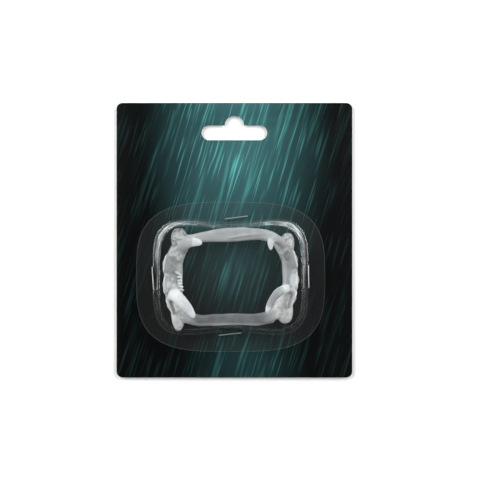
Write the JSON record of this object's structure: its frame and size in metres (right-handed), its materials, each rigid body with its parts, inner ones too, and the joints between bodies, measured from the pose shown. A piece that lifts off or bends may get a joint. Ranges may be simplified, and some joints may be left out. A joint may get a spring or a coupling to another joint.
{
  "type": "vampire fang denture on blister card",
  "caption": "One-piece soft plastic vampire fang denture with two arches joined by flexible straps, in a clear blister stapled to a hanging card.",
  "frame": {"origin": "under the middle of the card, level with the undersides of the staples' clinched legs, on which the pack lies", "axes": "+Y towards the card's hanging edge, +Z out of the card's front towards the teeth, +X to the right seen from the front"},
  "size_m": [0.115, 0.134, 0.0215],
  "materials": {
    "soft_plastic": "translucent milky white soft plastic with a light sheen",
    "clear_film": "clear glossy thermoformed film",
    "printed_board": "card board varnished near black with soft teal streaks",
    "steel_wire": "bright zinc-coated wire"
  },
  "bodies": {
    "root": {"fang_denture": "soft_plastic", "blister": "clear_film", "backing_card": "printed_board", "staple_top": "steel_wire", "staple_bottom": "steel_wire", "staple_left": "steel_wire", "staple_right": "steel_wire"}
  },
  "joints": []
}
